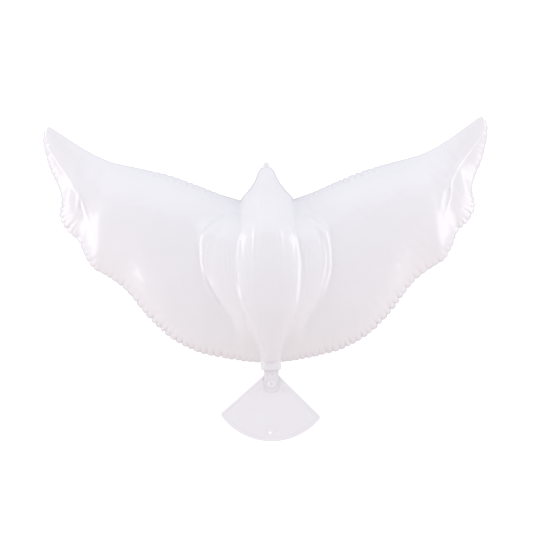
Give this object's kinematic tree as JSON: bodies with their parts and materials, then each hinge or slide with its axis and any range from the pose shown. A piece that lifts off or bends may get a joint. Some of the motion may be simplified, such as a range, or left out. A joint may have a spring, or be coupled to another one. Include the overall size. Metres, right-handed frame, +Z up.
{
  "type": "dove foil balloon",
  "caption": "White film balloon shaped as a dove with spread puckered wings, a long body, a neck tube and a flat fan tail held by a press stud.",
  "frame": {"origin": "on the floor under the middle of the balloon's box, where it lies on its belly", "axes": "+X along the wings, +Y towards the head, +Z up from the belly to the back"},
  "size_m": [0.85, 0.6124, 0.1726],
  "materials": {
    "balloon_film": "inflated white film with a soft gloss, drawn tight on the wings and puckered along the seam",
    "tail_sheet": "flat white film sheet, sealed along its border",
    "stud_plastic": "moulded white plastic"
  },
  "bodies": {
    "root": {"balloon_bag": "balloon_film", "tail_fan": "tail_sheet", "stud_cap": "stud_plastic", "stud_socket": "stud_plastic"}
  },
  "joints": []
}
